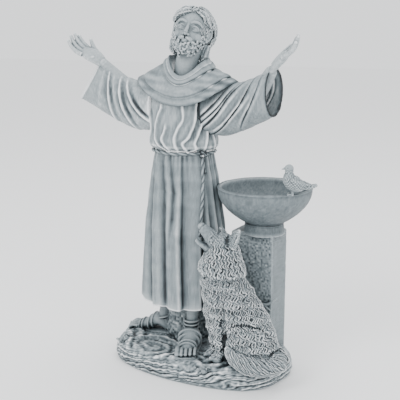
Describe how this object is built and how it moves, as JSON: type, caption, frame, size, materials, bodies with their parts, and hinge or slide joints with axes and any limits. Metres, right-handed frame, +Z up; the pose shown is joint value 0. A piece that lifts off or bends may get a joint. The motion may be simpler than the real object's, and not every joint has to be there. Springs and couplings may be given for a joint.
{
  "type": "saint francis statue with bird bath, dove and wolf",
  "caption": "Standing robed friar with raised open arms beside a pedestal bird bath with a dove and a sitting wolf, cast in one with a rocky oval base.",
  "frame": {"origin": "middle of the base's flat underside", "axes": "+Z up through the figure, -Y the way the figure faces, +X towards the pillar and bowl on the figure's left"},
  "size_m": [0.2985, 0.1402, 0.4061],
  "materials": {
    "antique_stone_resin": "matt blue-grey cast stone finish, dark wash in the hollows and pale dry-brushing on the ridges"
  },
  "bodies": {
    "root": {"saint_francis_statue": "antique_stone_resin"}
  },
  "joints": []
}
